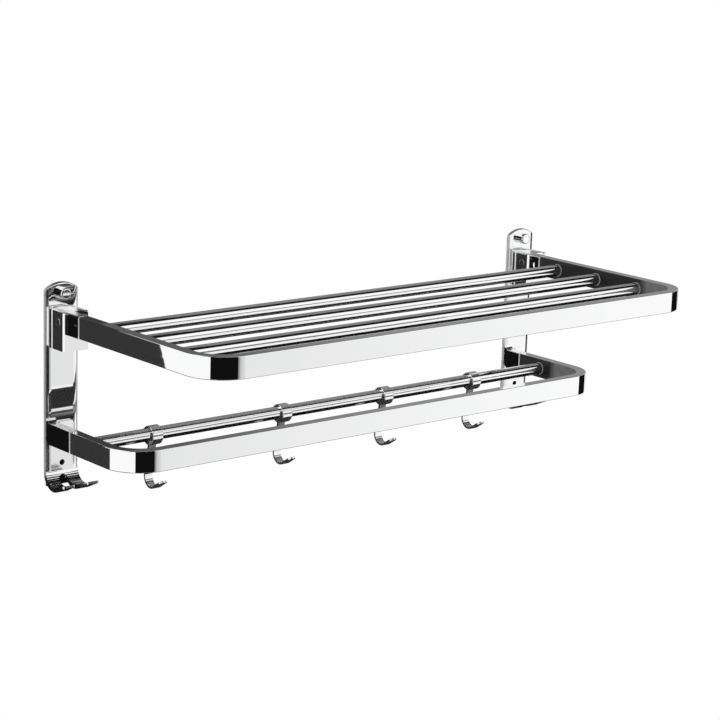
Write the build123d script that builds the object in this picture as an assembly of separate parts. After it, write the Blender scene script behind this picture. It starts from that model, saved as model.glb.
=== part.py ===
"""Folding towel rack for a bathroom wall.

Two identical wall brackets carry a hinged upper shelf and a fixed lower rail.
Four strip hooks slide on a round rod behind the lower rail.

Frame, in millimetres: the wall is the plane Y = 0, the front is -Y, up is +Z.
The origin lies on the wall, midway between the two open lower fixing holes.
"""

import math
import os

from build123d import *

os.makedirs("parts", exist_ok=True)


# ---------------------------------------------------------------- helpers

def block(x_range, y_range, z_range):
    """A plain box between two planes on each axis."""
    size = [high - low for low, high in (x_range, y_range, z_range)]
    centre = [(high + low) / 2 for low, high in (x_range, y_range, z_range)]
    return Pos(*centre) * Box(*size)


def rod_along_x(x_range, y, z, radius):
    """A round bar lying along X."""
    length = x_range[1] - x_range[0]
    middle = (x_range[1] + x_range[0]) / 2
    return Pos(middle, y, z) * Rot(0, 90, 0) * Cylinder(radius, length)


def rod_along_y(x, y_range, z, radius):
    """A round bar lying along Y."""
    length = y_range[1] - y_range[0]
    middle = (y_range[1] + y_range[0]) / 2
    return Pos(x, middle, z) * Rot(90, 0, 0) * Cylinder(radius, length)


def plate_from_yz(outline, x_range):
    """Extrude a closed outline, drawn in (Y, Z), along X."""
    face = Plane.YZ * outline
    solid = extrude(face, amount=x_range[1] - x_range[0])
    return Pos(x_range[0], 0, 0) * solid


def save(name, shape):
    """Write one named sub-part as a STEP file."""
    shape.label = name
    export_step(shape, os.path.join("parts", name + ".step"))


# ---------------------------------------------------------------- shared layout

BRACKET_PITCH = 566.0          # distance between the two bracket centre lines
PLATE_WIDTH = 34.0
PLATE_DEPTH = 4.0              # wall to the flat front of a bracket plate
BRACKETS = {"left": -BRACKET_PITCH / 2, "right": BRACKET_PITCH / 2}

TUBE_THICK = 10.0              # flat tube used for both rails
TUBE_HEIGHT = 20.0
TUBE_WALL = 1.3
TUBE_EDGE = 0.7                # rounding of the long tube edges
BEND_OUTER = 35.0              # plan radius of the rail corners

SHELF_Z = 136.0                # mid height of the shelf rail
SHELF_FRONT = -252.0
SHELF_TUBE_STARTS = {"left": -55.0, "right": -48.3}    # the wall end of each shelf arm
LOWER_Z = 29.5
LOWER_FRONT = -136.0
LOWER_TUBE_STARTS = {"left": -44.4, "right": -28.1}
SEAM_GAP = 1.8                 # open groove between a tube's end and its cast arm end

ROD_RADIUS = 6.0
ROD_WALL = 1.0

PIVOT_Y = -24.0                # hinge axis, parallel to X
PIVOT_Z = SHELF_Z
PIN_RADIUS = 2.5
RUNNING_GAP = 0.05             # radial play of a turning or sliding fit
SIDE_GAP = 0.3                 # play between flat faces that pass each other


# ---------------------------------------------------------------- bracket plate

PLATE_SKIN = 1.6
PLATE_EDGE_RUN = 5.5           # the front face curves back over this width at each side
PLATE_EDGE_DROP = 1.1
PLATE_SHOULDER_Z = 161.3       # straight sides end here
PLATE_TOP_Z = 167.3            # crown of the shallow arch
PLATE_FOOT_Z = -7.0            # the foot starts to bend forward here
PAD_POCKET_FOOT_Z = -6.0

HOLE_RADIUS = 2.75
UPPER_HOLE_Z = 157.5
LOWER_HOLE_Z = 0.0

NOTCH_WIDTH = 9.6
NOTCH_TOP_Z = -11.0            # the notch parts the foot into two prongs below this
PRONG_INNER_RADIUS = 12.0
PRONG_OUTER_RADIUS = PRONG_INNER_RADIUS + PLATE_DEPTH
PRONG_RISE = 20.0              # degrees above level
PRONG_TIP_THICK = 2.2
PRONG_LENGTHS = {"left": 14.7, "right": 20.7}


def arched_outline(half_width, foot_z, shoulder_z, crown_z):
    """Tall plate outline in (X, Z) with a shallow arched top."""
    sides = Polyline(
        (half_width, shoulder_z),
        (half_width, foot_z),
        (-half_width, foot_z),
        (-half_width, shoulder_z),
    )
    arch = ThreePointArc((-half_width, shoulder_z), (0, crown_z), (half_width, shoulder_z))
    return make_face(sides + arch)


def extrude_from_wall(outline, x_centre, y_back, y_front):
    """Extrude an (X, Z) outline towards the room, from y_back to y_front."""
    face = Plane.XZ * outline
    return Pos(x_centre, y_back, 0) * extrude(face, amount=y_back - y_front)


def foot_outline(straight_length):
    """Side view of the foot in (Y, Z): a forward bend and a straight, thinner end."""
    centre_y = -PRONG_OUTER_RADIUS
    centre_z = PLATE_FOOT_Z
    rise = math.radians(PRONG_RISE)

    def on_arc(radius, angle):
        """Point at an angle below the bend centre, 0 facing the wall."""
        return (centre_y + radius * math.cos(angle), centre_z - radius * math.sin(angle))

    end_angle = math.pi / 2 + rise
    inner = [on_arc(PRONG_INNER_RADIUS, a) for a in (0, end_angle / 2, end_angle)]
    outer = [on_arc(PRONG_OUTER_RADIUS, a) for a in (0, end_angle / 2, end_angle)]
    tip_inner = (
        inner[2][0] - straight_length * math.cos(rise),
        inner[2][1] + straight_length * math.sin(rise),
    )
    tip_outer = (
        tip_inner[0] - PRONG_TIP_THICK * math.sin(rise),
        tip_inner[1] - PRONG_TIP_THICK * math.cos(rise),
    )
    return make_face([
        ThreePointArc(*inner),
        Line(inner[2], tip_inner),
        Line(tip_inner, tip_outer),
        Line(tip_outer, outer[2]),
        ThreePointArc(*outer),
        Line(outer[0], inner[0]),
    ])


def prong(x_range, straight_length):
    """One forward hook at the foot of a plate, with rounded corners at its tip."""
    solid = plate_from_yz(foot_outline(straight_length), x_range)
    tip_y = min(v.Y for v in solid.vertices())
    tip_corners = solid.edges().filter_by(
        lambda e: e.center().Y < tip_y + PRONG_TIP_THICK and abs(e.tangent_at(0.5).X) < 0.2
        and e.length < PRONG_TIP_THICK + 0.1
    )
    return fillet(tip_corners, 2.5)


def eased_bar(half_width, z_range):
    """Upright bar with the plate's cross-section: flat front, sides curving back."""
    flat = half_width - PLATE_EDGE_RUN
    front = -PLATE_DEPTH
    side_front = front + PLATE_EDGE_DROP
    radius = (PLATE_EDGE_RUN**2 + PLATE_EDGE_DROP**2) / (2 * PLATE_EDGE_DROP)
    half_angle = math.asin(PLATE_EDGE_RUN / radius) / 2
    middle_x = flat + radius * math.sin(half_angle)
    middle_y = front + radius * (1 - math.cos(half_angle))
    section = make_face([
        Line((-half_width, 1), (half_width, 1)),
        Line((half_width, 1), (half_width, side_front)),
        ThreePointArc((half_width, side_front), (middle_x, middle_y), (flat, front)),
        Line((flat, front), (-flat, front)),
        ThreePointArc((-flat, front), (-middle_x, middle_y), (-half_width, side_front)),
        Line((-half_width, side_front), (-half_width, 1)),
    ])
    return Pos(0, 0, z_range[0]) * extrude(section, amount=z_range[1] - z_range[0])


def bracket_plate(x_centre):
    """Pressed plate: shallow pan with an arched top, two holes and two prongs."""
    half = PLATE_WIDTH / 2
    outline = arched_outline(half, PLATE_FOOT_Z, PLATE_SHOULDER_Z, PLATE_TOP_Z)
    pan = extrude_from_wall(outline, 0, 0, -PLATE_DEPTH)
    shoulder_edges = pan.edges().filter_by(Axis.Y).group_by(Axis.Z)[-1]
    pan = fillet(shoulder_edges, 4.0)
    crown = pan.faces().sort_by(Axis.Y)[0].edges()
    crown = crown.filter_by(lambda e: e.center().Z > PLATE_SHOULDER_Z - 6 and e.length > 2)
    crown = crown.filter_by(lambda e: abs(e.tangent_at(0.5).Z) < 0.99)
    pan = fillet(crown, 1.3)
    pan &= eased_bar(half, (PLATE_FOOT_Z - 1, PLATE_TOP_Z + 1))

    inner = arched_outline(
        half - PLATE_SKIN,
        PAD_POCKET_FOOT_Z,
        PLATE_SHOULDER_Z - PLATE_SKIN,
        PLATE_TOP_Z - PLATE_SKIN,
    )
    pan -= extrude_from_wall(inner, 0, 0, -(PLATE_DEPTH - PLATE_SKIN))

    notch_half = NOTCH_WIDTH / 2
    pan += prong((-half, -notch_half), PRONG_LENGTHS["left"])
    pan += prong((notch_half, half), PRONG_LENGTHS["right"])
    # between the prongs the bend only reaches down to the notch's round top
    web = plate_from_yz(foot_outline(PRONG_LENGTHS["left"]), (-notch_half, notch_half))
    notch_centre_z = NOTCH_TOP_Z - notch_half
    web &= block((-PLATE_WIDTH, PLATE_WIDTH), (-PRONG_OUTER_RADIUS, 1), (notch_centre_z, 0))
    web -= rod_along_y(0, (-PRONG_OUTER_RADIUS, 1), notch_centre_z, notch_half)
    pan += web
    # the pocket runs on into the notch, so the wall pad can reach behind it
    pan -= block(
        (-notch_half, notch_half),
        (-(PLATE_DEPTH - PLATE_SKIN), 1),
        (NOTCH_TOP_Z - 5, PAD_POCKET_FOOT_Z + 1),
    )
    for hole_z in (LOWER_HOLE_Z, UPPER_HOLE_Z):
        pan -= rod_along_y(0, (-PLATE_DEPTH - 1, 1), hole_z, HOLE_RADIUS)
    return Pos(x_centre, 0, 0) * pan


for side, x_centre in BRACKETS.items():
    save(side + "_bracket_plate", bracket_plate(x_centre))


# ---------------------------------------------------------------- wall pad

PAD_PLAY = 0.2
PAD_THICK = PLATE_DEPTH - PLATE_SKIN - PAD_PLAY
PAD_TONGUE_Z = -21.0           # the pad shows through the notch down to here
PAD_SPREAD_Z = -16.0           # below this it spreads behind the forward bend of the prongs


def wall_pad(x_centre):
    """Dark pad that fills the hollow back of a plate and takes up wall unevenness."""
    half = PLATE_WIDTH / 2 - PLATE_SKIN - PAD_PLAY
    outline = arched_outline(
        half,
        PAD_POCKET_FOOT_Z + PAD_PLAY,
        PLATE_SHOULDER_Z - PLATE_SKIN - PAD_PLAY,
        PLATE_TOP_Z - PLATE_SKIN - PAD_PLAY,
    )
    pad = extrude_from_wall(outline, 0, 0, -PAD_THICK)
    tongue_half = NOTCH_WIDTH / 2 - PAD_PLAY
    pad += block(
        (-tongue_half, tongue_half),
        (-PAD_THICK, 0),
        (PAD_TONGUE_Z, PAD_POCKET_FOOT_Z + 1),
    )
    pad += block((-half, half), (-PAD_THICK, 0), (PAD_TONGUE_Z, PAD_SPREAD_Z))
    for hole_z in (LOWER_HOLE_Z, UPPER_HOLE_Z):
        pad -= rod_along_y(0, (-PLATE_DEPTH - 1, 1), hole_z, HOLE_RADIUS)
    return Pos(x_centre, 0, 0) * pad


for side, x_centre in BRACKETS.items():
    save(side + "_wall_pad", wall_pad(x_centre))


# ---------------------------------------------------------------- wall screw and cap

SCREW_SHANK_RADIUS = 2.3
SCREW_HEAD_RADIUS = 3.9
SCREW_HEAD_DEPTH = 2.6
CAP_RADIUS = 5.4
CAP_LENGTH = 7.6
CAP_WALL = 1.1


def wall_screw(x_centre):
    """Pan-head screw under the cap; its thread in the wall belongs to the wall."""
    front = -PLATE_DEPTH - SCREW_HEAD_DEPTH
    screw = rod_along_y(0, (-PLATE_DEPTH, 0), UPPER_HOLE_Z, SCREW_SHANK_RADIUS)
    head = rod_along_y(0, (front, -PLATE_DEPTH), UPPER_HOLE_Z, SCREW_HEAD_RADIUS)
    head = fillet(head.edges().group_by(Axis.Y)[0], 1.2)
    screw += head
    for turn in (0, 90):
        slot = Rot(0, turn, 0) * Box(4.6, 1.6, 0.9)
        screw -= Pos(0, front + 0.3, UPPER_HOLE_Z) * slot
    return Pos(x_centre, 0, 0) * screw


def screw_cap(x_centre):
    """Round cover pushed over the screw head, with a rounded front rim."""
    back = -PLATE_DEPTH
    front = back - CAP_LENGTH
    cap = rod_along_y(0, (front, back), UPPER_HOLE_Z, CAP_RADIUS)
    cap = fillet(cap.edges().group_by(Axis.Y)[0], 1.4)
    groove = rod_along_y(0, (back - 2.6, back - 2.0), UPPER_HOLE_Z, CAP_RADIUS + 1)
    groove -= rod_along_y(0, (back - 3, back - 1), UPPER_HOLE_Z, CAP_RADIUS - 0.3)
    cap -= groove
    cap -= rod_along_y(0, (front + CAP_WALL, back + 1), UPPER_HOLE_Z, CAP_RADIUS - CAP_WALL)
    return Pos(x_centre, 0, 0) * cap


for side, x_centre in BRACKETS.items():
    save(side + "_wall_screw", wall_screw(x_centre))
    save(side + "_screw_cap", screw_cap(x_centre))


# ---------------------------------------------------------------- hinge housing

HOUSING_WIDTH = 26.0           # starts flush with the plate's left edge
HOUSING_FRONT = -34.2
HOUSING_WALL = 2.2
HOUSING_BEND = 6.0             # outer radius of the upright bends next to the plate
HOUSING_NOSE_DEPTH = 2.4       # the front corners slope in over this depth
HOUSING_NOSE_STEP = 0.8
HOUSING_TOP_EDGE = 1.3
HOUSING_TOP_Z = SHELF_Z + TUBE_HEIGHT / 2
HOUSING_FOOT_Z = HOUSING_TOP_Z - 35.6
HOUSING_SILL_Z = SHELF_Z - TUBE_HEIGHT / 2 - SIDE_GAP    # the level arm rests here
SCORE_Y = -14.2                # upright score line on each side wall
SCORE_WIDTH = 1.6
SCORE_DEPTH = 1.2


def sleeve_block(x_range, y_range, z_range, bend):
    """Block whose two upright edges next to the wall are round."""
    solid = block(x_range, y_range, z_range)
    return fillet(solid.edges().filter_by(Axis.Z).group_by(Axis.Y)[-1], bend)


def nose_slope(x_face, inwards):
    """Wedge that takes the sharp front corner off a side wall over its full height."""
    corner = Polyline(
        (x_face, HOUSING_FRONT + HOUSING_NOSE_DEPTH),
        (x_face + inwards * HOUSING_NOSE_STEP, HOUSING_FRONT),
        (x_face - inwards * HOUSING_NOSE_STEP, HOUSING_FRONT - HOUSING_NOSE_STEP),
        (x_face - inwards * HOUSING_NOSE_STEP, HOUSING_FRONT + HOUSING_NOSE_DEPTH),
        (x_face, HOUSING_FRONT + HOUSING_NOSE_DEPTH),
    )
    wedge = extrude(make_face(corner), amount=HOUSING_TOP_Z - HOUSING_FOOT_Z + 2)
    return Pos(0, 0, HOUSING_FOOT_Z - 1) * wedge


def hinge_housing(x_centre):
    """Folded sleeve, open above and below, cut away in front for the shelf arm."""
    left = -PLATE_WIDTH / 2
    right = left + HOUSING_WIDTH
    inner_x = (left + HOUSING_WALL, right - HOUSING_WALL)
    shell = sleeve_block(
        (left, right),
        (HOUSING_FRONT, -PLATE_DEPTH),
        (HOUSING_FOOT_Z, HOUSING_TOP_Z),
        HOUSING_BEND,
    )
    shell -= sleeve_block(
        inner_x,
        (HOUSING_FRONT + HOUSING_WALL, -PLATE_DEPTH - HOUSING_WALL),
        (HOUSING_FOOT_Z - 1, HOUSING_TOP_Z + 1),
        HOUSING_BEND - HOUSING_WALL,
    )
    outer_rim = shell.faces().sort_by(Axis.Z)[-1].outer_wire().edges()
    shell = fillet(outer_rim, HOUSING_TOP_EDGE)
    shell -= block(
        inner_x, (HOUSING_FRONT - 1, PIVOT_Y), (HOUSING_SILL_Z, HOUSING_TOP_Z + 1)
    )
    score = (SCORE_Y - SCORE_WIDTH / 2, SCORE_Y + SCORE_WIDTH / 2)
    for face_x, inwards in ((left, 1), (right, -1)):
        shell -= nose_slope(face_x, inwards)
        shell -= block(
            (face_x - SCORE_DEPTH, face_x + SCORE_DEPTH),
            score,
            (HOUSING_FOOT_Z - 1, HOUSING_TOP_Z + 1),
        )
    pin_hole = rod_along_x((left - 5, right + 5), PIVOT_Y, PIVOT_Z, PIN_RADIUS)
    return Pos(x_centre, 0, 0) * (shell - pin_hole)


for side, x_centre in BRACKETS.items():
    save(side + "_hinge_housing", hinge_housing(x_centre))


# ---------------------------------------------------------------- hinge pin

PIN_HEAD_RADIUS = 3.5
PIN_HEAD_DEPTH = 0.2


def hinge_pin(x_centre):
    """Riveted pin through both housing walls, with a low head at each end."""
    left = -PLATE_WIDTH / 2
    right = left + HOUSING_WIDTH
    rim = PIN_HEAD_DEPTH * 0.75
    pin = rod_along_x((left, right), PIVOT_Y, PIVOT_Z, PIN_RADIUS)
    for outer, inner in ((left - PIN_HEAD_DEPTH, left), (right + PIN_HEAD_DEPTH, right)):
        span = (min(outer, inner), max(outer, inner))
        head = rod_along_x(span, PIVOT_Y, PIVOT_Z, PIN_HEAD_RADIUS)
        rims = head.edges().group_by(Axis.X)
        outer_rim = rims[0] if outer < inner else rims[-1]
        pin += fillet(outer_rim, rim)
    return Pos(x_centre, 0, 0) * pin


for side, x_centre in BRACKETS.items():
    save(side + "_hinge_pin", hinge_pin(x_centre))


# ---------------------------------------------------------------- hinge tongue

KNUCKLE_FRONT = -31.5          # the wide knuckle stands back a little inside the housing
TAIL_REACH = 17.5              # radius of the knuckle's round back
TAIL_EASE = HOUSING_BEND - HOUSING_WALL - SIDE_GAP
TAIL_LIFT_START = 7.0          # behind this the underside is raised to clear the sill
TAIL_LIFT = 2.6
TONGUE_EDGE = 2.2              # rounding of the long upper edge at the left
DOME_RADIUS = 5.3
DOME_RISE = 0.15
DOME_MARGIN = 0.6              # flat left between the boss and the arm end's front
SPIGOT_LENGTH = 20.0
SPIGOT_PLAY = 0.1
SHELF_ARM_OFFSET = -PLATE_WIDTH / 2 + HOUSING_WALL + SIDE_GAP + TUBE_THICK / 2


def arm_dome(x_face, front):
    """Low round boss on the arm's left face, clear of the housing as the arm swings."""
    housing_reach = math.hypot(PIVOT_Y - HOUSING_FRONT, TUBE_HEIGHT / 2) + SIDE_GAP
    room = PIVOT_Y - front - DOME_MARGIN - housing_reach
    radius = min(DOME_RADIUS, room / 2)
    y_centre = PIVOT_Y - housing_reach - radius
    sphere_radius = (radius**2 + DOME_RISE**2) / (2 * DOME_RISE)
    ball = Pos(x_face - DOME_RISE + sphere_radius, y_centre, PIVOT_Z) * Sphere(sphere_radius)
    disc = rod_along_x((x_face - DOME_RISE - 1, x_face + 1), y_centre, PIVOT_Z, radius)
    return ball & disc


def hinge_tongue(x_centre, tube_start):
    """Cast arm end: turns on the pin, plugs into the shelf tube, stops on the sill."""
    low = PIVOT_Z - TUBE_HEIGHT / 2
    high = PIVOT_Z + TUBE_HEIGHT / 2
    rear = PIVOT_Y + TAIL_REACH
    arm_left = -PLATE_WIDTH / 2 + HOUSING_WALL + SIDE_GAP
    arm_right = arm_left + TUBE_THICK
    knuckle_right = -PLATE_WIDTH / 2 + HOUSING_WIDTH - HOUSING_WALL - SIDE_GAP
    front = tube_start + SEAM_GAP
    beyond = (-PLATE_WIDTH, PLATE_WIDTH)

    tongue = block((arm_left, arm_right), (front, rear), (low, high))
    tongue += block((arm_left, knuckle_right), (KNUCKLE_FRONT, rear), (low, high))
    # behind the pin the knuckle is a barrel about it, eased at its ends, so the arm can
    # swing up past the round inner corners of the housing
    barrel = rod_along_x((arm_left, knuckle_right), PIVOT_Y, PIVOT_Z, TAIL_REACH)
    barrel = fillet(barrel.edges().filter_by(GeomType.CIRCLE), TAIL_EASE)
    tongue -= block(beyond, (PIVOT_Y, rear + 1), (low - 1, high + 1)) - barrel
    # upright, the tail hangs behind the sill, so its underside is set back
    tongue -= block(
        beyond, (PIVOT_Y + TAIL_LIFT_START, rear + 1), (low - 1, low + TAIL_LIFT)
    )
    upper_left_edge = tongue.edges().filter_by(Axis.Y).filter_by(
        lambda e: e.center().Z > high - 0.01 and e.center().X < arm_left + 0.01
    )
    tongue = fillet(upper_left_edge, TONGUE_EDGE)
    tongue += arm_dome(arm_left, front)

    middle_x = arm_left + TUBE_THICK / 2
    spigot_x = TUBE_THICK / 2 - TUBE_WALL - SPIGOT_PLAY
    spigot_z = TUBE_HEIGHT / 2 - TUBE_WALL - SPIGOT_PLAY
    tongue += block(
        (middle_x - spigot_x, middle_x + spigot_x),
        (tube_start - SPIGOT_LENGTH, front),
        (PIVOT_Z - spigot_z, PIVOT_Z + spigot_z),
    )
    tongue -= rod_along_x(beyond, PIVOT_Y, PIVOT_Z, PIN_RADIUS + RUNNING_GAP)
    return Pos(x_centre, 0, 0) * tongue


for side, x_centre in BRACKETS.items():
    save(side + "_hinge_tongue", hinge_tongue(x_centre, SHELF_TUBE_STARTS[side]))


# ---------------------------------------------------------------- rails

BEAD_LENGTH = 0.6              # the brazed bead where a rod meets an arm
BEAD_RISE = 0.4

SHELF_X = (
    BRACKETS["left"] + SHELF_ARM_OFFSET - TUBE_THICK / 2,
    BRACKETS["right"] + SHELF_ARM_OFFSET + TUBE_THICK / 2,
)
LOWER_X = (
    BRACKETS["left"] - PLATE_WIDTH / 2,
    BRACKETS["right"] - PLATE_WIDTH / 2 + TUBE_THICK,
)


def u_outline(x_range, y_front, y_end, inset):
    """U-shaped plan of a bent rail, set in from the tube's outer skin."""

    def rounded_front(x_low, x_high, y_low, radius):
        width = x_high - x_low
        depth = y_end - y_low + radius
        middle = (x_low + x_high) / 2
        sheet = Pos(middle, y_low + depth / 2) * RectangleRounded(width, depth, radius)
        keep = Pos(middle, (y_low + y_end) / 2) * Rectangle(width + 1, y_end - y_low)
        return sheet & keep

    outer = rounded_front(
        x_range[0] + inset, x_range[1] - inset, y_front + inset, BEND_OUTER - inset
    )
    gap = TUBE_THICK - inset
    inner = rounded_front(
        x_range[0] + gap, x_range[1] - gap, y_front + gap, BEND_OUTER - gap
    )
    return outer - inner


def bent_rail(x_range, y_front, y_ends, z_middle, rod_centres):
    """Hollow flat tube bent to a U, with a hole in each arm for every rod."""
    y_end = max(y_ends.values())
    skin = extrude(u_outline(x_range, y_front, y_end, 0), amount=TUBE_HEIGHT)
    long_edges = skin.edges().filter_by(
        lambda e: abs(e.tangent_at(0.5).Z) < 0.1 and e.center().Y < y_end - 0.1
    )
    skin = fillet(long_edges, TUBE_EDGE)
    hollow = extrude(
        u_outline(x_range, y_front, y_end + 0.01, TUBE_WALL),
        amount=TUBE_HEIGHT - 2 * TUBE_WALL,
    )
    rail = skin - Pos(0, 0, TUBE_WALL) * hollow
    rail = Pos(0, 0, z_middle - TUBE_HEIGHT / 2) * rail
    inner_span = (x_range[0] + TUBE_THICK / 2, x_range[1] - TUBE_THICK / 2)
    for rod_y in rod_centres:
        rail -= rod_along_x(inner_span, rod_y, z_middle, ROD_RADIUS)
    # each arm is sawn off at its own length
    across = {"left": (x_range[0] - 1, 0), "right": (0, x_range[1] + 1)}
    for side, arm_end in y_ends.items():
        if arm_end < y_end:
            rail -= block(
                across[side], (arm_end, y_end + 1),
                (z_middle - TUBE_HEIGHT, z_middle + TUBE_HEIGHT),
            )
    return rail


def round_rod(x_range, y, z):
    """Round tube let into the inner walls of a rail's arms, with a bead at each end."""
    reach = TUBE_THICK - TUBE_WALL
    span = (x_range[0] + reach, x_range[1] - reach)
    rod = rod_along_x(span, y, z, ROD_RADIUS)
    for face_x, inwards in ((x_range[0] + TUBE_THICK, 1), (x_range[1] - TUBE_THICK, -1)):
        bead_end = face_x + inwards * BEAD_LENGTH
        bead_span = (min(face_x, bead_end), max(face_x, bead_end))
        rod += rod_along_x(bead_span, y, z, ROD_RADIUS + BEAD_RISE)
    bore = rod_along_x((span[0] - 1, span[1] + 1), y, z, ROD_RADIUS - ROD_WALL)
    return rod - bore


SHELF_ROD_Y = {"rear": -74.5, "middle": -130.0, "front": -185.5}
HOOK_ROD_Y = -57.5

save(
    "shelf_frame",
    bent_rail(SHELF_X, SHELF_FRONT, SHELF_TUBE_STARTS, SHELF_Z, SHELF_ROD_Y.values()),
)
for place, rod_y in SHELF_ROD_Y.items():
    save("shelf_rod_" + place, round_rod(SHELF_X, rod_y, SHELF_Z))

save(
    "lower_frame",
    bent_rail(LOWER_X, LOWER_FRONT, LOWER_TUBE_STARTS, LOWER_Z, [HOOK_ROD_Y]),
)
save("hook_rod", round_rod(LOWER_X, HOOK_ROD_Y, LOWER_Z))


# ---------------------------------------------------------------- lower stub

STUB_FOOT_WIDTH = 26.0
STUB_FOOT_THICK = 2.4
STUB_EDGE = 0.8
STUB_THROAT = 4.0              # hollow rounding where the foot meets the arm
STUB_HEEL = 7.0                # radius of the lower corner next to the wall


def lower_stub(x_centre, tube_start):
    """Cast stub on a foot against the plate; its spigot carries the lower rail."""
    left = -PLATE_WIDTH / 2
    right = left + TUBE_THICK
    back = -PLATE_DEPTH
    front = tube_start + SEAM_GAP
    low = LOWER_Z - TUBE_HEIGHT / 2
    high = LOWER_Z + TUBE_HEIGHT / 2
    stub = block((left, right), (front, back), (low, high))
    stub = fillet(stub.faces().sort_by(Axis.X)[0].edges().filter_by(Axis.Y), STUB_EDGE)
    stub += block(
        (left + STUB_EDGE, left + STUB_FOOT_WIDTH), (back - STUB_FOOT_THICK, back), (low, high)
    )
    throat = stub.edges().filter_by(Axis.Z).filter_by(
        lambda e: abs(e.center().X - right) < 0.01 and e.center().Y > front + 1
    )
    stub = fillet(throat, STUB_THROAT)
    # hollow rounding up the plate above the arm
    flare = block((left, right), (back - STUB_THROAT, back), (high - 1, high + STUB_THROAT))
    flare -= rod_along_x(
        (left - 1, right + 1), back - STUB_THROAT, high + STUB_THROAT, STUB_THROAT
    )
    stub += flare
    # round heel below
    heel = block(
        (left - 1, left + STUB_FOOT_WIDTH + 1), (back - STUB_HEEL, back + 1),
        (low - 1, low + STUB_HEEL),
    )
    heel -= rod_along_x(
        (left - 2, left + STUB_FOOT_WIDTH + 2), back - STUB_HEEL, low + STUB_HEEL, STUB_HEEL
    )
    stub -= heel

    middle_x = (left + right) / 2
    spigot_x = TUBE_THICK / 2 - TUBE_WALL - SPIGOT_PLAY
    spigot_z = TUBE_HEIGHT / 2 - TUBE_WALL - SPIGOT_PLAY
    spigot = block(
        (middle_x - spigot_x, middle_x + spigot_x),
        (tube_start - SPIGOT_LENGTH, front),
        (LOWER_Z - spigot_z, LOWER_Z + spigot_z),
    )
    # the rod's end may enter the tube here, so the spigot clears it
    spigot -= rod_along_x(
        (middle_x - TUBE_THICK, middle_x + TUBE_THICK),
        HOOK_ROD_Y, LOWER_Z, ROD_RADIUS + SPIGOT_PLAY,
    )
    return Pos(x_centre, 0, 0) * (stub + spigot)


for side, x_centre in BRACKETS.items():
    save(side + "_lower_stub", lower_stub(x_centre, LOWER_TUBE_STARTS[side]))


# ---------------------------------------------------------------- sliding hooks

COLLAR_WIDTH = 11.0
COLLAR_RADIUS = 9.0
COLLAR_EDGE = 0.6
COLLAR_SAG = 0.9               # the collar is thicker below, where the strip's ends meet
STEM_WIDTH = 8.0
STEM_TOP_Z = LOWER_Z - 7.5     # inside the collar
HOOK_THICK = 2.0
HOOK_BORE = ROD_RADIUS + RUNNING_GAP
HOOK_LEAN = 11.0               # degrees that the stem leans back towards the wall
HOOK_BEND_RADIUS = 9.0
HOOK_BEND_CENTRE = (-59.4, -11.2)
HOOK_RISE = 33.0               # degrees above level
HOOK_TIP_LENGTH = 14.0
HOOK_TIP_ROUND = 3.4
HOOK_CENTRES = {"hook_1": -220.0, "hook_2": -72.0, "hook_3": 54.0, "hook_4": 170.5}


def offset_arc(radius, start_angle, end_angle, centre):
    """Arc in (Y, Z) about a centre, angles measured downwards from the wall side."""
    points = []
    for share in (0, 0.5, 1):
        angle = start_angle + (end_angle - start_angle) * share
        points.append(
            (centre[0] + radius * math.cos(angle), centre[1] - radius * math.sin(angle))
        )
    return points


def hook_outline():
    """Closed outline of the J part of a hook in (Y, Z): leaning stem, bend and point."""
    half = HOOK_THICK / 2
    lean = math.radians(HOOK_LEAN)
    rise = math.radians(HOOK_RISE)
    end_angle = math.pi / 2 + rise
    inner = offset_arc(HOOK_BEND_RADIUS - half, -lean, end_angle, HOOK_BEND_CENTRE)
    outer = offset_arc(HOOK_BEND_RADIUS + half, -lean, end_angle, HOOK_BEND_CENTRE)
    along = (-math.cos(rise) * HOOK_TIP_LENGTH, math.sin(rise) * HOOK_TIP_LENGTH)
    inner_tip = (inner[2][0] + along[0], inner[2][1] + along[1])
    outer_tip = (outer[2][0] + along[0], outer[2][1] + along[1])
    stem_length = (STEM_TOP_Z - HOOK_BEND_CENTRE[1]) / math.cos(lean)
    up_stem = (-math.sin(lean) * stem_length, math.cos(lean) * stem_length)
    front_top = (inner[0][0] + up_stem[0], inner[0][1] + up_stem[1])
    rear_top = (outer[0][0] + up_stem[0], outer[0][1] + up_stem[1])
    return make_face([
        Line(front_top, inner[0]),
        ThreePointArc(*inner),
        Line(inner[2], inner_tip),
        Line(inner_tip, outer_tip),
        Line(outer_tip, outer[2]),
        ThreePointArc(*outer),
        Line(outer[0], rear_top),
        Line(rear_top, front_top),
    ])


def sliding_hook(x_centre):
    """One hook: collar round the rod, leaning stem and upturned point."""
    collar_span = (-COLLAR_WIDTH / 2, COLLAR_WIDTH / 2)
    collar = rod_along_x(collar_span, HOOK_ROD_Y, LOWER_Z - COLLAR_SAG, COLLAR_RADIUS)
    collar = fillet(collar.edges().filter_by(GeomType.CIRCLE), COLLAR_EDGE)
    strip = plate_from_yz(hook_outline(), (-STEM_WIDTH / 2, STEM_WIDTH / 2))
    hook = collar + strip
    bore_span = (-COLLAR_WIDTH / 2 - 1, COLLAR_WIDTH / 2 + 1)
    hook -= rod_along_x(bore_span, HOOK_ROD_Y, LOWER_Z, HOOK_BORE)
    tip_y = min(v.Y for v in hook.vertices())
    tip_edges = hook.edges().filter_by(
        lambda e: e.center().Y < tip_y + HOOK_THICK and abs(e.tangent_at(0.5).X) < 0.2
        and e.length < HOOK_THICK + 0.1
    )
    hook = fillet(tip_edges, HOOK_TIP_ROUND)
    return Pos(x_centre, 0, 0) * hook


for name, x_centre in HOOK_CENTRES.items():
    save(name, sliding_hook(x_centre))
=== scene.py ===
import math

import bmesh
import bpy
from mathutils import Matrix, Vector


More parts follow.
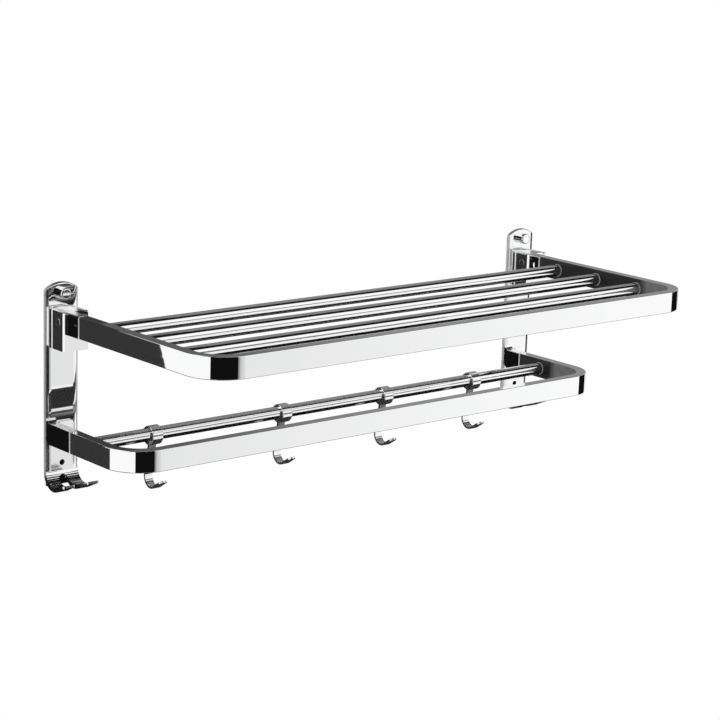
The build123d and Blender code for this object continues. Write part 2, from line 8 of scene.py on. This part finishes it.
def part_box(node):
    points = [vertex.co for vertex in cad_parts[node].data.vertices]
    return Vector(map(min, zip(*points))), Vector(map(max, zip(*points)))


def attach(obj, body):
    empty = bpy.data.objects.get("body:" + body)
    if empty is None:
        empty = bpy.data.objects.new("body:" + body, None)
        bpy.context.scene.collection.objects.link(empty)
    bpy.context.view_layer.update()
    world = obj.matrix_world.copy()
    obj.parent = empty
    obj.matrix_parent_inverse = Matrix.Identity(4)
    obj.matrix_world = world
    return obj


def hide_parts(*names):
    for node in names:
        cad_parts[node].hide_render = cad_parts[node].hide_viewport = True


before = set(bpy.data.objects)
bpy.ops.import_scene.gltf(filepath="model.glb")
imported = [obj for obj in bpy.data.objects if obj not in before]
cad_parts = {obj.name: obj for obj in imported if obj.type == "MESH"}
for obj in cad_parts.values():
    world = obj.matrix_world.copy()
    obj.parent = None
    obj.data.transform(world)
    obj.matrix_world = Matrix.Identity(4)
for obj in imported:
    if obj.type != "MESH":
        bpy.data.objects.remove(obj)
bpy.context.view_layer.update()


# ---------------------------------------------------------------- bracket plates
# Two pressed steel plates, polished and chrome plated, screwed to the wall at the top
# and at the foot. Hands have dulled the flat part round the lower hole, and the sheared
# edges were never polished.

def new_material(name):
    """A material with only its output node, ready for a finish."""
    material = bpy.data.materials.new(name)
    material.use_nodes = True
    tree = material.node_tree
    tree.nodes.clear()
    output = tree.nodes.new("ShaderNodeOutputMaterial")
    return material, tree, output


def place_on(tree):
    """Position in the rack's own frame, in metres, as x, y and z."""
    place = tree.nodes.new("ShaderNodeTexCoord")
    parts = tree.nodes.new("ShaderNodeSeparateXYZ")
    tree.links.new(place.outputs["Object"], parts.inputs["Vector"])
    return parts.outputs


def normal_on(tree):
    """Surface direction as x, y and z."""
    place = tree.nodes.new("ShaderNodeTexCoord")
    parts = tree.nodes.new("ShaderNodeSeparateXYZ")
    tree.links.new(place.outputs["Normal"], parts.inputs["Vector"])
    return parts.outputs


def noise(tree, scale, detail=3.0, stretch=(1, 1, 1)):
    """Noise fixed to the rack's own frame, drawn out along an axis whose stretch is small."""
    place = tree.nodes.new("ShaderNodeTexCoord")
    mapping = tree.nodes.new("ShaderNodeMapping")
    mapping.inputs["Scale"].default_value = stretch
    tree.links.new(place.outputs["Object"], mapping.inputs["Vector"])
    texture = tree.nodes.new("ShaderNodeTexNoise")
    texture.inputs["Scale"].default_value = scale
    texture.inputs["Detail"].default_value = detail
    tree.links.new(mapping.outputs["Vector"], texture.inputs["Vector"])
    return texture.outputs["Fac"]


def spread(tree, value, low, high, start=0.3, end=0.7):
    """Map a value between start and end onto the range low to high."""
    node = tree.nodes.new("ShaderNodeMapRange")
    node.inputs["From Min"].default_value = start
    node.inputs["From Max"].default_value = end
    node.inputs["To Min"].default_value = low
    node.inputs["To Max"].default_value = high
    tree.links.new(value, node.inputs["Value"])
    return node.outputs["Result"]


def calculate(tree, operation, first, second):
    """One operation on two values, each a socket or a plain number."""
    node = tree.nodes.new("ShaderNodeMath")
    node.operation = operation
    for socket, value in zip(node.inputs, (first, second)):
        if isinstance(value, (int, float)):
            socket.default_value = value
        else:
            tree.links.new(value, socket)
    return node.outputs["Value"]


def grey(tone):
    """An even grey as a colour."""
    return (tone, tone, tone)


def two_tones(tree, value, dark, light):
    """Colour that drifts between two tones, each a triple or a socket."""
    node = tree.nodes.new("ShaderNodeMix")
    node.data_type = "RGBA"
    sockets = [socket for socket in node.inputs if socket.type == "RGBA"]
    for socket, tone in zip(sockets, (dark, light)):
        if isinstance(tone, tuple):
            socket.default_value = (*tone, 1)
        else:
            tree.links.new(tone, socket)
    tree.links.new(value, node.inputs["Factor"])
    return [socket for socket in node.outputs if socket.type == "RGBA"][0]


def chrome(name, tone=0.95, haze=0.0, smooth=0.02, worn=0.05, grain=(1, 1, 1), ripple=1e-5):
    """Bright chrome: faint stains, uneven polish, a trace of ripple and of haze."""
    material, tree, output = new_material(name)
    skin = tree.nodes.new("ShaderNodeBsdfPrincipled")
    skin.name = "skin"
    skin.inputs["Metallic"].default_value = 1.0 - haze
    tree.links.new(skin.outputs["BSDF"], output.inputs["Surface"])
    stain = noise(tree, scale=35.0, detail=4.0)
    stained = (tone - 0.02, tone - 0.015, tone - 0.01)
    colour = two_tones(tree, stain, stained, grey(tone + 0.015))
    tree.links.new(colour, skin.inputs["Base Color"])
    polish = noise(tree, scale=120.0, detail=5.0, stretch=grain)
    roughness = spread(tree, polish, smooth, worn)
    tree.links.new(roughness, skin.inputs["Roughness"])
    waves = noise(tree, scale=60.0, detail=2.0, stretch=grain)
    height = calculate(tree, "MULTIPLY", waves, ripple)
    bump = tree.nodes.new("ShaderNodeBump")
    bump.name = "bump"
    bump.inputs["Strength"].default_value = 1.0
    bump.inputs["Distance"].default_value = 1.0
    tree.links.new(height, bump.inputs["Height"])
    tree.links.new(bump.outputs["Normal"], skin.inputs["Normal"])
    return material


def feeding(socket):
    """What is linked into a socket now."""
    return socket.links[0].from_socket


def add_to(tree, socket, extra):
    """Add a value to what is linked into a socket now."""
    tree.links.new(calculate(tree, "ADD", feeding(socket), extra), socket)


def dress(material, *names):
    """Give CAD nodes their finish."""
    for name in names:
        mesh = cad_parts[name].data
        mesh.materials.clear()
        mesh.materials.append(material)


def faces_sideways(tree, start=0.96, end=0.99):
    """1 on faces square to X, 0 on all that turn away from it far enough."""
    across = calculate(tree, "ABSOLUTE", normal_on(tree)["X"], 0)
    return spread(tree, across, 0.0, 1.0, start, end)


PLATE_LEAN = 0.020             # the pressing bows, and its face looks very slightly up
WIPED_ROUGHNESS = 0.12
WIPED_FULL_Z = 0.014           # fully dulled below this height
WIPED_END_Z = 0.024            # and bright above this one
FOOT_DULL_Z = -0.003           # the bent foot is bright again
FOOT_BRIGHT_Z = -0.008
SHEARED_ROUGHNESS = 0.5
SHEARED_AT_BEND = 0.2          # share of that roughness left below the bend
BEND_Z = -0.014

plate_finish = chrome("plate_chrome", tone=0.93, haze=0.008, smooth=0.01, worn=0.03)
tree = plate_finish.node_tree
height_on = place_on(tree)["Z"]
wiped = spread(tree, height_on, WIPED_ROUGHNESS, 0.0, WIPED_FULL_Z, WIPED_END_Z)
above_foot = spread(tree, height_on, 0.0, 1.0, FOOT_BRIGHT_Z, FOOT_DULL_Z)
wiped = calculate(tree, "MULTIPLY", wiped, above_foot)
sheared = faces_sideways(tree, start=0.2, end=0.36)
above_bend = spread(tree, height_on, SHEARED_AT_BEND, 1.0, BEND_Z, FOOT_BRIGHT_Z)
sheared = calculate(tree, "MULTIPLY", sheared, above_bend)
sheared = calculate(tree, "MULTIPLY", sheared, SHEARED_ROUGHNESS)
add_to(tree, tree.nodes["skin"].inputs["Roughness"], wiped)
add_to(tree, tree.nodes["skin"].inputs["Roughness"], sheared)
bow = calculate(tree, "MULTIPLY", height_on, -PLATE_LEAN)
add_to(tree, tree.nodes["bump"].inputs["Height"], bow)
dress(plate_finish, "left_bracket_plate", "right_bracket_plate")


# ---------------------------------------------------------------- wall pads
# Black rubber, moulded to fill the hollow back of each plate, is painted shade: it stands in
# for the shade in the hollow, and a thin black skin across the lower hole for the shade in it.

PAD_BACK = 0.0002              # clear of the wall
PAD_EASE = 0.0002              # round the pad's edges
PAD_SHOULDER_DROP = 0.006      # the arched top begins this far below its crown
PAD_TONGUE_HALF = 0.0046       # the tongue behind the notch
PAD_TONGUE_TOP = -0.0058
PAD_SPREAD_TOP = -0.016        # behind the bend the foot is as wide as the pad again
PAD_HOLE = 0.00275
LOWER_HOLE_Z = 0.0
UPPER_HOLE_Z = 0.1575
SHADE_SKIN_THICK = 0.0006            # of the black skin across the lower hole, painted shade
SHADE_SKIN_OVERLAP = 0.0003
ARC_STEPS = 24


def rubber(name):
    """Matt black rubber with a fine moulded grain and chalky wear; its black is painted shade."""
    material, tree, output = new_material(name)
    skin = tree.nodes.new("ShaderNodeBsdfPrincipled")
    skin.inputs["Specular IOR Level"].default_value = 0.15
    tree.links.new(skin.outputs["BSDF"], output.inputs["Surface"])
    chalk = noise(tree, scale=180.0, detail=4.0)
    colour = two_tones(tree, chalk, (0.003, 0.003, 0.0032), (0.009, 0.009, 0.0094))
    tree.links.new(colour, skin.inputs["Base Color"])
    tree.links.new(spread(tree, chalk, 0.7, 0.9), skin.inputs["Roughness"])
    bump = tree.nodes.new("ShaderNodeBump")
    bump.inputs["Strength"].default_value = 1.0
    bump.inputs["Distance"].default_value = 1.0
    grain = noise(tree, scale=900.0, detail=2.0)
    tree.links.new(calculate(tree, "MULTIPLY", grain, 4e-5), bump.inputs["Height"])
    tree.links.new(bump.outputs["Normal"], skin.inputs["Normal"])
    return material


def link_piece(name, mesh, material):
    """Put a finished mesh into the scene."""
    mesh.materials.append(material)
    piece = bpy.data.objects.new(name, mesh)
    bpy.context.scene.collection.objects.link(piece)
    return piece


def arc_points(centre, radius, start, end, steps):
    """Points along an arc in a plane, from one angle to another, in degrees."""
    points = []
    for step in range(steps + 1):
        angle = math.radians(start + (end - start) * step / steps)
        points.append((centre[0] + radius * math.cos(angle), centre[1] + radius * math.sin(angle)))
    return points


def circle_points(centre, radius):
    """Points all round a circle, without the last, which would repeat the first."""
    return arc_points(centre, radius, 0, 360, ARC_STEPS)[:-1]


def pad_outline(box):
    """Arched outline of a pad, about its own centre line, with tongue and spread foot."""
    half = (box[1][0] - box[0][0]) / 2
    foot, top = box[0][2], box[1][2]
    radius = (half**2 + PAD_SHOULDER_DROP**2) / (2 * PAD_SHOULDER_DROP)
    reach = math.degrees(math.asin(half / radius))
    arch = arc_points((0, top - radius), radius, 90 - reach, 90 + reach, ARC_STEPS)
    left_side = [
        (-half, PAD_TONGUE_TOP), (-PAD_TONGUE_HALF, PAD_TONGUE_TOP),
        (-PAD_TONGUE_HALF, PAD_SPREAD_TOP), (-half, PAD_SPREAD_TOP), (-half, foot),
    ]
    right_side = [(-x, z) for x, z in reversed(left_side)]
    return arch + left_side + right_side


def extruded_sheet(name, outline, holes, thickness, ease):
    """Flat sheet with holes, cut from an outline in (X, Z) and eased at its edges."""
    curve = bpy.data.curves.new(name, "CURVE")
    curve.dimensions = "2D"
    curve.fill_mode = "BOTH"
    curve.extrude = thickness / 2 - ease
    curve.bevel_depth = ease
    curve.bevel_resolution = 2
    curve.offset = -ease
    for points in [outline, *holes]:
        spline = curve.splines.new("POLY")
        spline.points.add(len(points) - 1)
        for point, (x, z) in zip(spline.points, points):
            point.co = (x, z, 0, 1)
        spline.use_cyclic_u = True
    drawn = bpy.data.objects.new(name + "_drawn", curve)
    mesh = bpy.data.meshes.new_from_object(drawn)
    bpy.data.objects.remove(drawn)
    bpy.data.curves.remove(curve)
    return mesh


# painted shade: the black pads stand in for the shade in the plates' hollow backs
shade_pad_rubber = rubber("pad_painted_shade")
for side in ("left", "right"):
    node = side + "_wall_pad"
    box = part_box(node)
    middle_x = (box[0][0] + box[1][0]) / 2
    holes = [circle_points((0, z), PAD_HOLE) for z in (LOWER_HOLE_Z, UPPER_HOLE_Z)]
    thickness = box[1][1] - box[0][1] - PAD_BACK
    body = extruded_sheet(node + "_body", pad_outline(box), holes, thickness, PAD_EASE)
    # painted shade: a black skin across the lower hole stands in for the shade seen through it
    shade_skin_outline = circle_points((0, LOWER_HOLE_Z), PAD_HOLE + SHADE_SKIN_OVERLAP)
    shade_skin = extruded_sheet(node + "_shade_skin", shade_skin_outline, [], SHADE_SKIN_THICK, PAD_EASE / 2)
    # drawn lying down, and stood up against the wall
    stand = Matrix.Rotation(math.radians(90), 4, "X")
    body.transform(Matrix.Translation((middle_x, -PAD_BACK - thickness / 2, 0)) @ stand)
    shade_skin.transform(Matrix.Translation((middle_x, -PAD_BACK - SHADE_SKIN_THICK, 0)) @ stand)
    joined = bmesh.new()
    joined.from_mesh(body)
    joined.from_mesh(shade_skin)
    pad = bpy.data.meshes.new(node + "_rubber")
    joined.to_mesh(pad)
    joined.free()
    piece = link_piece(node + "_rubber", pad, shade_pad_rubber)
    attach(piece, "wall_frame")
    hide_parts(node)


# ---------------------------------------------------------------- wall screws and caps
# Plain steel pan-head screws through the top of each plate, hidden under round chrome
# covers that are pushed over the heads.

def steel(name):
    """Bare steel with fine tool marks along the screw."""
    material, tree, output = new_material(name)
    skin = tree.nodes.new("ShaderNodeBsdfPrincipled")
    skin.inputs["Metallic"].default_value = 1.0
    tree.links.new(skin.outputs["BSDF"], output.inputs["Surface"])
    marks = noise(tree, scale=400.0, detail=4.0, stretch=(1, 0.2, 1))
    colour = two_tones(tree, marks, (0.48, 0.48, 0.49), (0.62, 0.62, 0.63))
    tree.links.new(colour, skin.inputs["Base Color"])
    tree.links.new(spread(tree, marks, 0.25, 0.45), skin.inputs["Roughness"])
    return material


dress(steel("screw_steel"), "left_wall_screw", "right_wall_screw")
cap_finish = chrome("cap_chrome", tone=0.95, smooth=0.02, worn=0.06, ripple=4e-6)
dress(cap_finish, "left_screw_cap", "right_screw_cap")


# ---------------------------------------------------------------- hinge housings and pins
# Each housing is strip steel folded to a square sleeve and chromed. It is fixed to the
# plate, and a riveted pin runs across it. Its side walls carry a painted highlight, top to foot.

CREASE_HIGHLIGHT_FRONT_Y = -0.0151
CREASE_HIGHLIGHT_BACK_Y = -0.0133
MATT_ROUGHNESS = 0.6


def between(tree, value, low, high):
    """1 where a value lies between two limits, 0 elsewhere."""
    above = calculate(tree, "GREATER_THAN", value, low)
    below = calculate(tree, "LESS_THAN", value, high)
    return calculate(tree, "MULTIPLY", above, below)


def leave_matt(tree, share):
    """Turn the polish into a pale matt surface where share is 1."""
    skin = tree.nodes["skin"]
    polished = calculate(tree, "SUBTRACT", 1.0, share)
    metallic = calculate(tree, "MULTIPLY", polished, skin.inputs["Metallic"].default_value)
    tree.links.new(metallic, skin.inputs["Metallic"])
    add_to(tree, skin.inputs["Roughness"], calculate(tree, "MULTIPLY", share, MATT_ROUGHNESS))


housing_finish = chrome("housing_chrome", tone=0.94, haze=0.03, worn=0.06, grain=(3, 3, 0.3))
tree = housing_finish.node_tree
# painted highlight: a pale matt line stands in for the highlight along a crease in the wall
leave_matt(tree, between(tree, place_on(tree)["Y"], CREASE_HIGHLIGHT_FRONT_Y, CREASE_HIGHLIGHT_BACK_Y))
dress(housing_finish, "left_hinge_housing", "right_hinge_housing")
pin_finish = chrome("pin_chrome", tone=0.94, haze=0.03, worn=0.06)
dress(pin_finish, "left_hinge_pin", "right_hinge_pin")


# ---------------------------------------------------------------- cast arm ends
# The hinge tongues of the shelf and the stubs of the lower rail are castings, polished
# bright on their sides and left with the sand grain of the mould on top. Where the tube
# begins, a pale matt band is a painted highlight of the joint.

PIT_DEPTH = 1.2e-4
SEAM_EDGE = 0.0001
SEAMS = {                      # where each seam begins in Y
    "left_hinge_tongue": -0.0532, "right_hinge_tongue": -0.0465,
    "left_lower_stub": -0.0426, "right_lower_stub": -0.0263,
}


def cast_chrome(name, seam):
    """Plated casting: polished sides, grainy top, and a pale matt painted highlight in front of
    the seam.
    """
    material = chrome(name, tone=0.95, worn=0.04)
    tree = material.node_tree
    faces_up = spread(tree, normal_on(tree)["Z"], 0.0, 1.0, start=0.6, end=0.95)
    sand = noise(tree, scale=420.0)
    grainy = calculate(tree, "MULTIPLY", faces_up, spread(tree, sand, 0.12, 0.32))
    add_to(tree, tree.nodes["skin"].inputs["Roughness"], grainy)
    pits = calculate(tree, "MULTIPLY", faces_up, sand)
    pits = calculate(tree, "MULTIPLY", pits, PIT_DEPTH)
    add_to(tree, tree.nodes["bump"].inputs["Height"], pits)
    # painted highlight: pale matt band in front of the seam, standing in for the bright joint line
    leave_matt(tree, calculate(tree, "LESS_THAN", place_on(tree)["Y"], seam - SEAM_EDGE))
    return material


for node, seam in SEAMS.items():
    dress(cast_chrome(node + "_chrome", seam), node)


# ---------------------------------------------------------------- rails
# Flat steel tube, 20 by 10 mm, bent to a U and pushed over the spigots of the castings.
# The outside is polished. The right arm's inner face is left dull; its dark colour is painted
# reflection, and it has painted grey reflections towards the bend.

RIGHT_BEND_X = 0.225           # inside the right bend of both rails
RIGHT_ARM_X = 0.245
GREY_REFLECTION_START_Y = {"shelf_frame": -0.2, "lower_frame": -0.082}   # painted grey reflection in front of this
GREY_REFLECTION_FADE = 0.010
INNER_ROUGHNESS = 0.4
SIDE_HAZE = 0.035


def paint_over(tree, share, colour):
    """Lay a second colour over the first where share is 1."""
    base = tree.nodes["skin"].inputs["Base Color"]
    tree.links.new(two_tones(tree, share, feeding(base), colour), base)


def rail_chrome(node, grey_reflection_y):
    """Plated tube: bright outside; dull inside the right arm, with painted dark and grey
    reflections.
    """
    material = chrome(
        node + "_chrome", tone=0.95, smooth=0.005, worn=0.02, grain=(0.4, 0.4, 3), ripple=4e-6
    )
    tree = material.node_tree
    skin = tree.nodes["skin"]
    at_right = spread(tree, place_on(tree)["X"], 0.0, 1.0, RIGHT_BEND_X, RIGHT_ARM_X)
    faces_left = spread(tree, normal_on(tree)["X"], 1.0, 0.0, start=-0.7, end=-0.4)
    inner = calculate(tree, "MULTIPLY", at_right, faces_left)
    hazy = calculate(tree, "MULTIPLY", faces_sideways(tree), SIDE_HAZE)
    metallic = calculate(tree, "SUBTRACT", 1.0, hazy)
    metallic = calculate(tree, "SUBTRACT", metallic, inner)
    tree.links.new(metallic, skin.inputs["Metallic"])
    # painted reflection: dark colour for the dark the inner face mirrors, grey patches near the
    # bend
    dark = two_tones(tree, noise(tree, scale=50.0), grey(0.003), grey(0.018))
    painted_grey_reflection = two_tones(tree, noise(tree, scale=120.0), grey(0.09), grey(0.22))
    near_bend = spread(tree, place_on(tree)["Y"], 1.0, 0.0, grey_reflection_y, grey_reflection_y + GREY_REFLECTION_FADE)
    paint_over(tree, inner, two_tones(tree, near_bend, dark, painted_grey_reflection))
    add_to(tree, skin.inputs["Roughness"], calculate(tree, "MULTIPLY", inner, INNER_ROUGHNESS))
    return material


for node, grey_reflection_y in GREY_REFLECTION_START_Y.items():
    dress(rail_chrome(node, grey_reflection_y), node)


# ---------------------------------------------------------------- rods
# Round steel tube, chromed with the rails. Three rods cross the shelf and one the lower
# rail. Each end is brazed into an arm, with a dull grey bead round it.

TUBE_THICK = 0.010             # of the arms
BEAD_REACH = 0.00065           # the bead's length and a hair more
BEAD_GREY = grey(0.36)


def rod_chrome(rail):
    """Plated round tube with a matt bead where it meets the arms of its rail."""
    material = chrome(
        rail + "_rod_chrome", tone=0.95, haze=0.01, worn=0.04, grain=(0.3, 2, 2), ripple=6e-6
    )
    tree = material.node_tree
    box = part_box(rail)
    middle_x = (box[0][0] + box[1][0]) / 2
    face_x = (box[1][0] - box[0][0]) / 2 - TUBE_THICK
    from_middle = calculate(tree, "SUBTRACT", place_on(tree)["X"], middle_x)
    out_along = calculate(tree, "ABSOLUTE", from_middle, 0)
    bead = calculate(tree, "GREATER_THAN", out_along, face_x - BEAD_REACH)
    leave_matt(tree, bead)
    paint_over(tree, bead, BEAD_GREY)
    return material


dress(rod_chrome("shelf_frame"), "shelf_rod_rear", "shelf_rod_middle", "shelf_rod_front")
dress(rod_chrome("lower_frame"), "hook_rod")


# ---------------------------------------------------------------- hooks
# Four steel strips, each with a collar that slides on the rod and an end bent to a J.
# The strip is folded just under the collar, and that neck is painted grey as a reflection.

NECK_FOOT_Z = 0.002
NECK_TOP_Z = 0.0195            # just under the collar

hook_finish = chrome("hook_chrome", tone=0.95, haze=0.05, worn=0.07, ripple=2e-5)
tree = hook_finish.node_tree
neck = between(tree, place_on(tree)["Z"], NECK_FOOT_Z, NECK_TOP_Z)
# painted reflection: the neck's grey stands in for the grey it mirrors
painted_neck_reflection = two_tones(tree, noise(tree, scale=300.0), grey(0.10), grey(0.24))
paint_over(tree, neck, painted_neck_reflection)
dress(hook_finish, "hook_1", "hook_2", "hook_3", "hook_4")


# ---------------------------------------------------------------- room
# The rack hangs in a white room over a pale floor. Dark studio flags stand round it that
# only polished metal sees, so that the chrome has its dark bands.

BACK_Y = 1.2
BACK_START_X = -0.3
NEAR_X = 0.7                   # the back is dark up to here and lighter beyond
FAR_X = 1.15
BACK_END_X = 3.0
LOW_Z = -0.5
HORIZON_Z = 0.1
SHELF_GLOW_Z = 0.48            # the shelf's arms mirror what is above this height
CEILING_Z = 1.5
CEILING_MIDDLE_Y = -0.11       # overhead it is darkest in front of this
CEILING_END_X = 4.0
BACK_LEFT_Y = 0.8
BACK_LEFT_TOP_Z = 0.6
BACK_LEFT_OUTLINE = (          # in X and Z, its slanting edge ends the dark of the arms
    (-0.45, -0.6), (-1.6, -0.6), (-1.6, -0.28), (-0.992, -0.185),
    (-0.957, -0.07), (-0.94, BACK_LEFT_TOP_Z), (-0.45, BACK_LEFT_TOP_Z),
)
CAMERA_CORNER = (-1.78, -1.73)
FRONT_CORNER = (0.65, -2.4)
FRONT_MIDDLE = (1.1, -2.4)
FRONT_FOOT_Z = -1.5
FRONT_TOP_Z = -0.25
FLOOR_Z = -1.6
FLOOR_SPAN = (-30, 30)


def stage_card(name, corners, shade, far_shade=None):
    """Flat studio flag that only reflections see, graded along X if it has two shades."""
    material, tree, output = new_material(name)
    glow = tree.nodes.new("ShaderNodeEmission")
    glow.inputs["Color"].default_value = (*grey(shade), 1)
    if far_shade is not None:
        place = tree.nodes.new("ShaderNodeTexCoord")
        parts = tree.nodes.new("ShaderNodeSeparateXYZ")
        tree.links.new(place.outputs["Generated"], parts.inputs["Vector"])
        graded = two_tones(tree, parts.outputs["X"], grey(shade), grey(far_shade))
        tree.links.new(graded, glow.inputs["Color"])
    tree.links.new(glow.outputs["Emission"], output.inputs["Surface"])
    mesh = bpy.data.meshes.new(name)
    mesh.from_pydata(corners, [], [tuple(range(len(corners)))])
    card = link_piece(name, mesh, material)
    card.visible_camera = False
    card.visible_diffuse = False
    card.visible_shadow = False
    card.visible_transmission = False


def level(x_range, y_range, z):
    """Corners of a level card."""
    return [(x_range[0], y_range[0], z), (x_range[1], y_range[0], z),
            (x_range[1], y_range[1], z), (x_range[0], y_range[1], z)]


def upright(start, end, z_range):
    """Corners of an upright card between two points of the floor plan."""
    return [(*start, z_range[0]), (*end, z_range[0]), (*end, z_range[1]), (*start, z_range[1])]


def seen_directly(tree):
    """1 for camera, glossy and transmission rays."""
    path = tree.nodes.new("ShaderNodeLightPath")
    kinds = path.outputs
    either = calculate(tree, "MAXIMUM", kinds["Is Camera Ray"], kinds["Is Glossy Ray"])
    return calculate(tree, "MAXIMUM", either, kinds["Is Transmission Ray"])


stage_card("flag_below", level((-1.5, 1.7), (-0.66, BACK_Y), LOW_Z), shade=0.004)
stage_card(
    "flag_above", level((-3.0, CEILING_END_X), (-1.22, CEILING_MIDDLE_Y), CEILING_Z), shade=0.004
)
stage_card(
    "flag_above_near", level((-0.4, NEAR_X), (CEILING_MIDDLE_Y, BACK_Y), CEILING_Z), shade=0.05
)
stage_card(
    "flag_above_far",
    level((NEAR_X, CEILING_END_X), (CEILING_MIDDLE_Y, BACK_Y), CEILING_Z), shade=0.22,
)
stage_card(
    "flag_back_low",
    upright((BACK_START_X, BACK_Y), (BACK_END_X, BACK_Y), (LOW_Z, HORIZON_Z)), shade=0.025,
)
for row, z_range, shade in (
    ("low", (HORIZON_Z, SHELF_GLOW_Z), 0.045),
    ("high", (SHELF_GLOW_Z, CEILING_Z), 0.11),
):
    near = upright((BACK_START_X, BACK_Y), (NEAR_X, BACK_Y), z_range)
    stage_card("flag_back_near_" + row, near, shade)
    middle = upright((NEAR_X, BACK_Y), (FAR_X, BACK_Y), z_range)
    stage_card("flag_back_middle_" + row, middle, shade, far_shade=0.27)
stage_card(
    "flag_back_far",
    upright((FAR_X, BACK_Y), (BACK_END_X, BACK_Y), (HORIZON_Z, CEILING_Z)), shade=0.27,
)
stage_card("flag_back_left", [(x, BACK_LEFT_Y, z) for x, z in BACK_LEFT_OUTLINE], shade=0.006)
stage_card(
    "flag_back_left_high",
    upright((-0.98, BACK_LEFT_Y), (BACK_START_X, BACK_LEFT_Y), (BACK_LEFT_TOP_Z, CEILING_Z)),
    shade=0.06,
)
stage_card(
    "flag_camera", upright(CAMERA_CORNER, (0.25, -2.25), (FRONT_FOOT_Z, CEILING_Z)), shade=0.005
)
stage_card(
    "flag_camera_left", upright((-2.24, -1.24), CAMERA_CORNER, (-0.42, CEILING_Z)), shade=0.005
)
for name, start, end, shade, far_shade in (
    ("flag_front_edge", (0.25, -2.3), FRONT_CORNER, 0.15, 0.6),
    ("flag_front_left", FRONT_CORNER, FRONT_MIDDLE, 0.6, 0.8),
    ("flag_front", FRONT_MIDDLE, (2.5, -2.4), 0.8, 1.0),
):
    stage_card(name, upright(start, end, (FRONT_FOOT_Z, FRONT_TOP_Z)), shade, far_shade)
stage_card("flag_right", upright((2.5, -1.24), (2.5, 0.61), (-0.9, 0.6)), shade=0.005)

floor_mesh = bpy.data.meshes.new("floor")
floor_mesh.from_pydata(level(FLOOR_SPAN, FLOOR_SPAN, FLOOR_Z), [], [(0, 1, 2, 3)])
pale, tree, output = new_material("pale_floor")
matt = tree.nodes.new("ShaderNodeBsdfDiffuse")
matt.inputs["Color"].default_value = (*grey(0.85), 1)
bright_floor = tree.nodes.new("ShaderNodeEmission")
mix = tree.nodes.new("ShaderNodeMixShader")
tree.links.new(seen_directly(tree), mix.inputs["Fac"])
tree.links.new(matt.outputs[0], mix.inputs[1])
tree.links.new(bright_floor.outputs[0], mix.inputs[2])
tree.links.new(mix.outputs[0], output.inputs["Surface"])
link_piece("floor", floor_mesh, pale)

world = bpy.data.worlds.new("studio")
bpy.context.scene.world = world
world.use_nodes = True
tree = world.node_tree
tree.nodes.clear()
output = tree.nodes.new("ShaderNodeOutputWorld")
white_room = tree.nodes.new("ShaderNodeBackground")
white_room.inputs["Color"].default_value = (1, 1, 1, 1)
white_room.inputs["Strength"].default_value = 1.0
tree.links.new(white_room.outputs["Background"], output.inputs["Surface"])


# ---------------------------------------------------------------- camera
# It stands in front of the rack and to the left, a little above the shelf, and looks
# slightly down through a long lens.

CAMERA_PLACE = Vector((-1.3418, -1.6915, 0.5616))
CAMERA_YAW = math.radians(39.856)
CAMERA_PITCH = math.radians(13.045)
CAMERA_ROLL = math.radians(1.797)
LENS = 112.374                 # millimetres, on a sensor 36 wide

forward = Vector((
    math.sin(CAMERA_YAW) * math.cos(CAMERA_PITCH),
    math.cos(CAMERA_YAW) * math.cos(CAMERA_PITCH),
    -math.sin(CAMERA_PITCH),
))
sideways = Vector((math.cos(CAMERA_YAW), -math.sin(CAMERA_YAW), 0))
upward = sideways.cross(forward)
right = sideways * math.cos(CAMERA_ROLL) + upward * math.sin(CAMERA_ROLL)
up = upward * math.cos(CAMERA_ROLL) - sideways * math.sin(CAMERA_ROLL)
lens = bpy.data.cameras.new("camera")
lens.lens = LENS
lens.sensor_width = 36
camera = bpy.data.objects.new("camera", lens)
bpy.context.scene.collection.objects.link(camera)
turn = Matrix((right, up, -forward)).transposed()
camera.matrix_world = Matrix.Translation(CAMERA_PLACE) @ turn.to_4x4()
bpy.context.scene.camera = camera
bpy.context.scene.view_settings.view_transform = "Standard"
